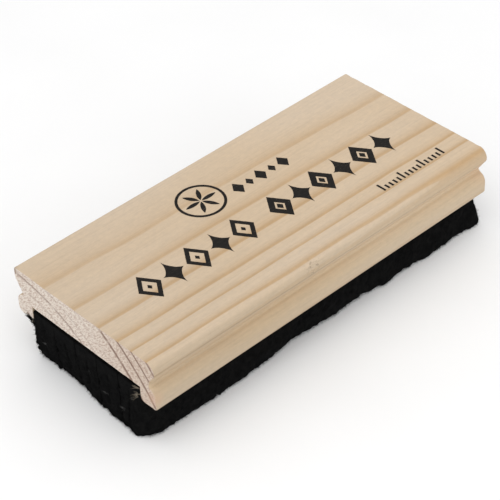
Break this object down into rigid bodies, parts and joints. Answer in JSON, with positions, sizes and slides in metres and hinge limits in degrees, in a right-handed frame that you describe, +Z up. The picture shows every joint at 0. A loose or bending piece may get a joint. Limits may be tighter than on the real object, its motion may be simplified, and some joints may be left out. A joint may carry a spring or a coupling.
{
  "type": "chalkboard eraser",
  "caption": "Hand eraser for a chalkboard: a moulded pine handle with finger grooves along both sides, over a thick black pad of folded felt strips.",
  "frame": {"origin": "on the surface the felt rests on, below the middle of the handle", "axes": "+X along the handle, +Y across it, +Z up from the felt's wiping face to the top of the handle"},
  "size_m": [0.135, 0.06, 0.0315],
  "materials": {
    "pine": "planed and sanded pine, unvarnished",
    "black_felt": "thick napped felt",
    "glue": "dry glue"
  },
  "bodies": {
    "root": {"wooden_handle": "pine", "adhesive_bed": "glue", "felt_strip_1": "black_felt", "felt_strip_2": "black_felt", "felt_strip_3": "black_felt", "felt_strip_4": "black_felt", "felt_strip_5": "black_felt"}
  },
  "joints": []
}
